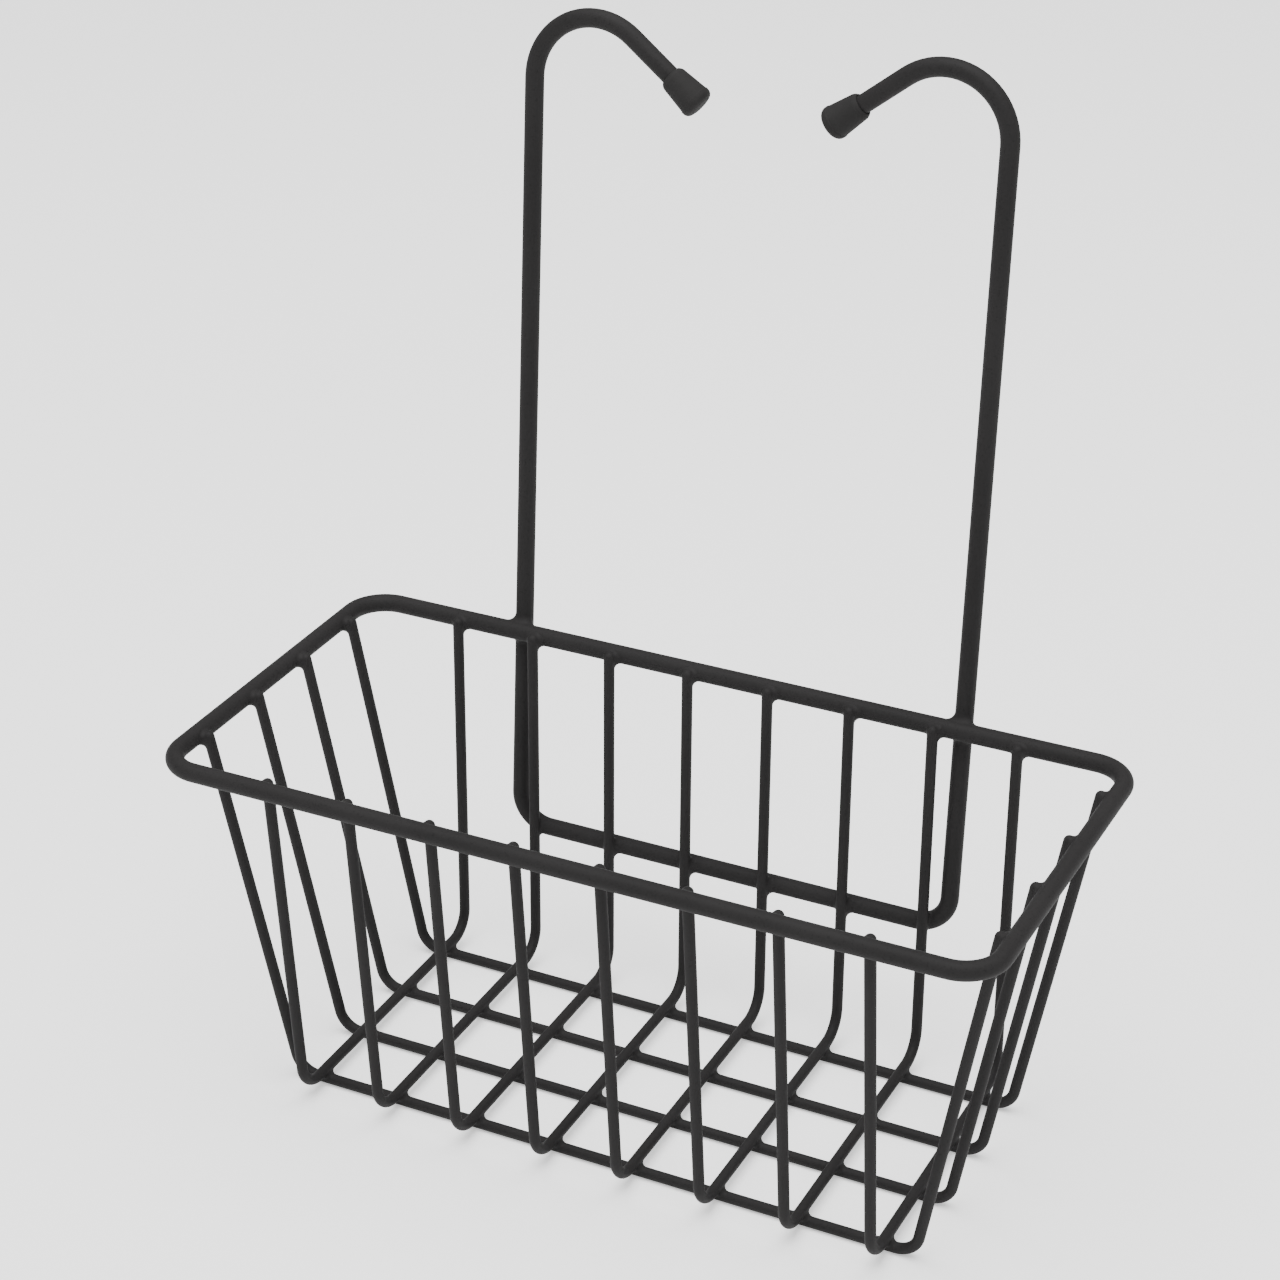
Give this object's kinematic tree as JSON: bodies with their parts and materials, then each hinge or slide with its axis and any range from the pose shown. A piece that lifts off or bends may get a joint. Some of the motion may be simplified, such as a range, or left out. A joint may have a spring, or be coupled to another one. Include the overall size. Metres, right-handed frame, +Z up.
{
  "type": "shower caddy",
  "caption": "Wire basket with tapering walls, hung from a bent wire frame whose two inward hooks end in soft caps.",
  "frame": {"origin": "under the middle of the overall width and depth, on the surface that the four lowest wires stand on", "axes": "+X along the basket's length towards its right end seen from the front, +Y from the open front to the hanger at the back, +Z up"},
  "size_m": [0.25, 0.1388, 0.3006],
  "materials": {
    "coated_wire": "matte black powder coat over steel wire",
    "tip_rubber": "matte black soft caps"
  },
  "bodies": {
    "root": {"rim": "coated_wire", "hanger": "coated_wire", "cross_wire_1": "coated_wire", "cross_wire_2": "coated_wire", "cross_wire_3": "coated_wire", "cross_wire_4": "coated_wire", "cross_wire_5": "coated_wire", "cross_wire_6": "coated_wire", "cross_wire_7": "coated_wire", "cross_wire_8": "coated_wire", "long_wire_1": "coated_wire", "long_wire_2": "coated_wire", "long_wire_3": "coated_wire", "long_wire_4": "coated_wire", "tip_left": "tip_rubber", "tip_right": "tip_rubber"}
  },
  "joints": []
}
